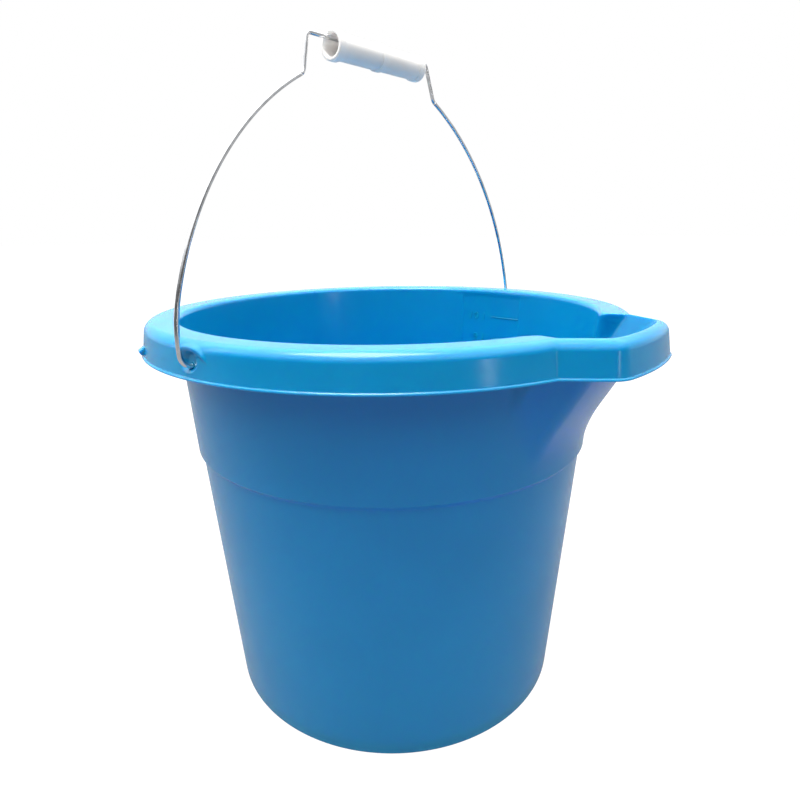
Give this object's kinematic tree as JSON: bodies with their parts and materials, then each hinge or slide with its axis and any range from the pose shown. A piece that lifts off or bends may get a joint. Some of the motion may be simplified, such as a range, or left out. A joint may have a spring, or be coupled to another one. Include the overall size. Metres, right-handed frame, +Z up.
{
  "type": "wash bucket",
  "caption": "Round tapered bucket with a wide turned-over rim, a pouring spout, and a swinging wire bail carrying a loose tubular grip.",
  "frame": {"origin": "centre of the foot ring, on the plane the bucket rests on", "axes": "+Z up, +X towards the pouring spout, Y along the bail's pivot axis"},
  "size_m": [0.3285, 0.3131, 0.4093],
  "materials": {
    "pail_plastic": "glossy injection-moulded polypropylene, blue",
    "wire": "bright zinc-plated steel wire",
    "grip_plastic": "semi-gloss white plastic"
  },
  "bodies": {
    "pail": {"pail": "pail_plastic"},
    "bail": {"bail": "wire"},
    "grip": {"grip": "grip_plastic"}
  },
  "joints": [
    {"name": "bail_swing", "type": "hinge", "parent": "pail", "child": "bail", "pos_m": [0.0034, 0, 0.2413], "axis": [0, 1, 0], "range_deg": [-55, 70]},
    {"name": "grip_spin", "type": "hinge", "parent": "bail", "child": "grip", "pos_m": [-0.00382, -0.00255, 0.40031], "axis": [-0.0012, 0.9997, 0.0262], "continuous": true}
  ]
}
